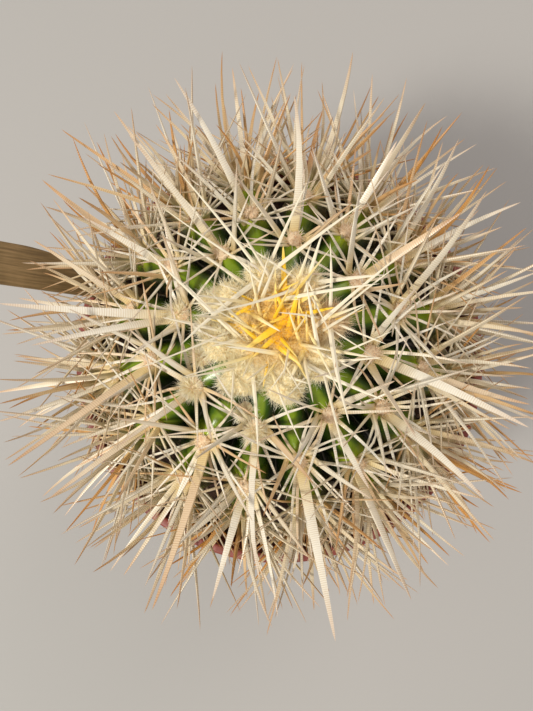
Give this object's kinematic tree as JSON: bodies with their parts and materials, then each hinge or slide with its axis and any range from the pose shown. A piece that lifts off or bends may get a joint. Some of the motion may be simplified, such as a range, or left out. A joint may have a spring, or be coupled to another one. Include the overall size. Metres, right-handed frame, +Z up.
{
  "type": "potted round cactus",
  "caption": "Round ribbed cactus with long pale spines and a woolly crown, in a tapered plastic pot of soil with a bare wooden label.",
  "frame": {"origin": "the middle of the pot's flat base, on the pot's axis", "axes": "+Z up along the pot's axis; +X to the right and +Y away from the viewer in the picture's view, with the label leaning out towards -X"},
  "size_m": [0.1947, 0.1732, 0.2033],
  "materials": {
    "pot_plastic": "satin",
    "potting_soil": "matte",
    "cactus_skin": "satin",
    "crown_wool": "matte",
    "label_wood": "matte"
  },
  "bodies": {
    "root": {"pot": "pot_plastic", "soil": "potting_soil", "cactus": "cactus_skin", "crown_wool": "crown_wool", "plant_label": "label_wood"}
  },
  "joints": []
}
